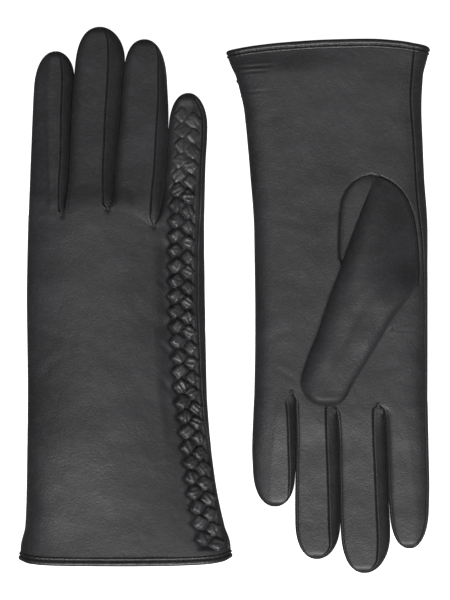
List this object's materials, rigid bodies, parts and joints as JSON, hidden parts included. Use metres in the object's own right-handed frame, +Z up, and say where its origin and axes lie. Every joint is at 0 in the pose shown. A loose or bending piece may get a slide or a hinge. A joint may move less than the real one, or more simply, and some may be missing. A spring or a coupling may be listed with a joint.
{
  "type": "pair of leather gloves",
  "caption": "Pair of lined leather dress gloves laid flat, right glove back up and left glove palm up, with a plaited leather strip along the outer edge.",
  "frame": {"origin": "on the table under the middle of the pair's bounding box", "axes": "+Z up from the table, +Y from the right glove's cuff to its fingertips, +X from the right glove to the left glove"},
  "size_m": [0.2015, 0.2689, 0.0202],
  "materials": {
    "glove_leather": "smooth fine-grained black dress leather, soft satin",
    "hem_leather": "the same leather, folded over and stitched",
    "plaited_leather": "narrow black leather thongs, puffed by the plaiting",
    "knit_lining": "fine black knitted lining, matt"
  },
  "bodies": {
    "right_hand": {"right_back_panel": "glove_leather", "right_palm_panel": "glove_leather", "right_hand_lining": "knit_lining", "right_thumb_gusset": "glove_leather", "right_cuff_binding": "hem_leather", "right_plait": "plaited_leather"},
    "right_thumb": {"right_thumb": "glove_leather", "right_thumb_lining": "knit_lining"},
    "right_index": {"right_index_back": "glove_leather", "right_index_palm": "glove_leather", "right_index_lining": "knit_lining", "right_index_fourchette_outer": "glove_leather"},
    "right_middle": {"right_middle_back": "glove_leather", "right_middle_palm": "glove_leather", "right_middle_lining": "knit_lining", "right_middle_fourchette_outer": "glove_leather", "right_middle_fourchette_inner": "glove_leather"},
    "right_ring": {"right_ring_back": "glove_leather", "right_ring_palm": "glove_leather", "right_ring_lining": "knit_lining", "right_ring_fourchette_outer": "glove_leather", "right_ring_fourchette_inner": "glove_leather"},
    "right_little": {"right_little_back": "glove_leather", "right_little_palm": "glove_leather", "right_little_lining": "knit_lining", "right_little_fourchette_inner": "glove_leather", "right_little_plait": "plaited_leather"},
    "left_hand": {"left_back_panel": "glove_leather", "left_palm_panel": "glove_leather", "left_hand_lining": "knit_lining", "left_thumb_gusset": "glove_leather", "left_cuff_binding": "hem_leather", "left_plait": "plaited_leather"},
    "left_thumb": {"left_thumb": "glove_leather", "left_thumb_lining": "knit_lining"},
    "left_index": {"left_index_back": "glove_leather", "left_index_palm": "glove_leather", "left_index_lining": "knit_lining", "left_index_fourchette_outer": "glove_leather"},
    "left_middle": {"left_middle_back": "glove_leather", "left_middle_palm": "glove_leather", "left_middle_lining": "knit_lining", "left_middle_fourchette_outer": "glove_leather", "left_middle_fourchette_inner": "glove_leather"},
    "left_ring": {"left_ring_back": "glove_leather", "left_ring_palm": "glove_leather", "left_ring_lining": "knit_lining", "left_ring_fourchette_outer": "glove_leather", "left_ring_fourchette_inner": "glove_leather"},
    "left_little": {"left_little_back": "glove_leather", "left_little_palm": "glove_leather", "left_little_lining": "knit_lining", "left_little_fourchette_inner": "glove_leather", "left_little_plait": "plaited_leather"}
  },
  "joints": [
    {"name": "left_glove_lift", "type": "slide", "parent": "right_hand", "child": "left_hand", "axis": [0, 0, 1], "range_m": [0, 0.1]},
    {"name": "right_thumb_swing", "type": "hinge", "parent": "right_hand", "child": "right_thumb", "pos_m": [-0.07625, -0.02785, 0.00855], "axis": [0, 0, 1], "range_deg": [0, 55]},
    {"name": "right_index_fold", "type": "hinge", "parent": "right_hand", "child": "right_index", "pos_m": [-0.08725, 0.05115, 0.0202], "axis": [1, 0, 0], "range_deg": [0, 60]},
    {"name": "right_middle_fold", "type": "hinge", "parent": "right_hand", "child": "right_middle", "pos_m": [-0.06645, 0.05115, 0.0202], "axis": [1, 0, 0], "range_deg": [0, 60]},
    {"name": "right_ring_fold", "type": "hinge", "parent": "right_hand", "child": "right_ring", "pos_m": [-0.04385, 0.05115, 0.0202], "axis": [1, 0, 0], "range_deg": [0, 60]},
    {"name": "right_little_fold", "type": "hinge", "parent": "right_hand", "child": "right_little", "pos_m": [-0.02165, 0.05115, 0.0161], "axis": [1, 0, 0], "range_deg": [0, 60]},
    {"name": "left_thumb_swing", "type": "hinge", "parent": "left_hand", "child": "left_thumb", "pos_m": [0.07705, 0.02185, 0.01165], "axis": [0, 0, 1], "range_deg": [0, 55]},
    {"name": "left_index_fold", "type": "hinge", "parent": "left_hand", "child": "left_index", "pos_m": [0.08905, -0.06165, 0.01105], "axis": [-1, 0, 0], "range_deg": [0, 75]},
    {"name": "left_middle_fold", "type": "hinge", "parent": "left_hand", "child": "left_middle", "pos_m": [0.06675, -0.06165, 0.01105], "axis": [-1, 0, 0], "range_deg": [0, 75]},
    {"name": "left_ring_fold", "type": "hinge", "parent": "left_hand", "child": "left_ring", "pos_m": [0.04425, -0.06165, 0.01105], "axis": [-1, 0, 0], "range_deg": [0, 75]},
    {"name": "left_little_fold", "type": "hinge", "parent": "left_hand", "child": "left_little", "pos_m": [0.02325, -0.06165, 0.01345], "axis": [-1, 0, 0], "range_deg": [0, 75]}
  ]
}
